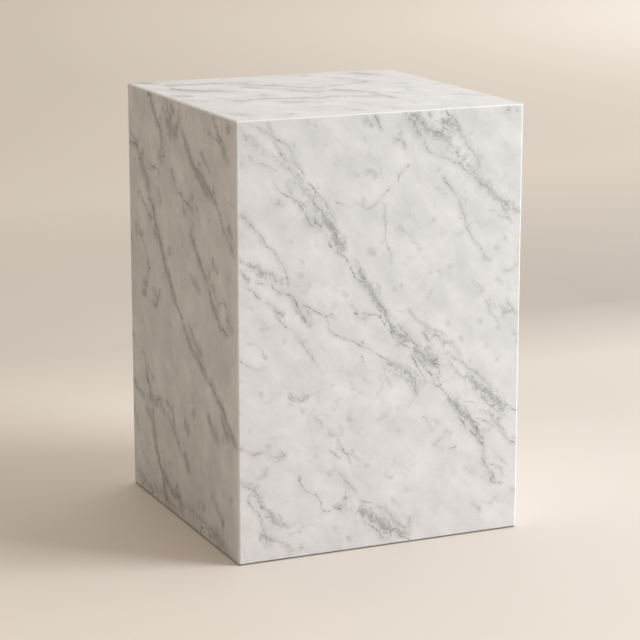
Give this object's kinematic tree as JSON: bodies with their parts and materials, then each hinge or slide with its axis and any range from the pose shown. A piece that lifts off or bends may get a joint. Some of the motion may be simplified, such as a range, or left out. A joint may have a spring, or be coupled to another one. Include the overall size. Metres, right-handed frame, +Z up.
{
  "type": "marble block",
  "caption": "Solid squared block of honed white marble with grey veins and lightly eased edges, standing on its square base as a plinth or display block.",
  "frame": {"origin": "centre of the square base, on the surface that the block stands on", "axes": "+Z up along the block's height; -Y out of the bright face and -X out of the shaded face of the picture"},
  "size_m": [0.35, 0.35, 0.5],
  "materials": {
    "marble": "honed"
  },
  "bodies": {
    "root": {"marble_block": "marble"}
  },
  "joints": []
}
